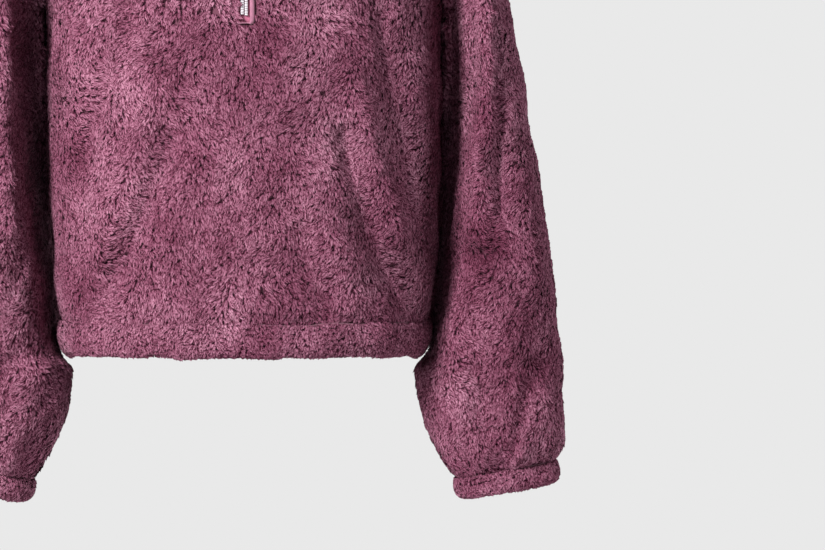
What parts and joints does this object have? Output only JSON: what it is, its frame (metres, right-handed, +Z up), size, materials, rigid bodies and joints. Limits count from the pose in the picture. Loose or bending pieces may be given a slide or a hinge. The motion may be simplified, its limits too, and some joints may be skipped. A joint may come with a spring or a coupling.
{
  "type": "fleece pullover",
  "caption": "Cropped half-zip pullover in long-pile fleece, with a stand collar, full sleeves, and an elasticated hem band and cuffs, held open in its worn shape.",
  "frame": {"origin": "midway between the two high shoulder points, where the collar seam meets the shoulder seams and the worn garment is held", "axes": "+Z up, -Y the way the front faces, +X towards the wearer's left sleeve"},
  "size_m": [0.578, 0.2474, 0.7131],
  "materials": {
    "fleece": "long pile",
    "tape": "woven tape",
    "coil": "satin",
    "metal": "satin"
  },
  "bodies": {
    "garment": {"front": "fleece", "back": "fleece", "sleeve_left": "fleece", "sleeve_right": "fleece", "cuff_left": "fleece", "cuff_right": "fleece", "hem_band": "fleece", "collar": "fleece", "zip_tape": "tape", "zip_chain": "coil", "zip_slider": "metal"},
    "pull": {"zip_pull": "metal"}
  },
  "joints": [
    {"name": "pull_hinge", "type": "hinge", "parent": "garment", "child": "pull", "pos_m": [0, -0.08924, -0.017], "axis": [-1, 0, 0], "range_deg": [0, 170]}
  ]
}
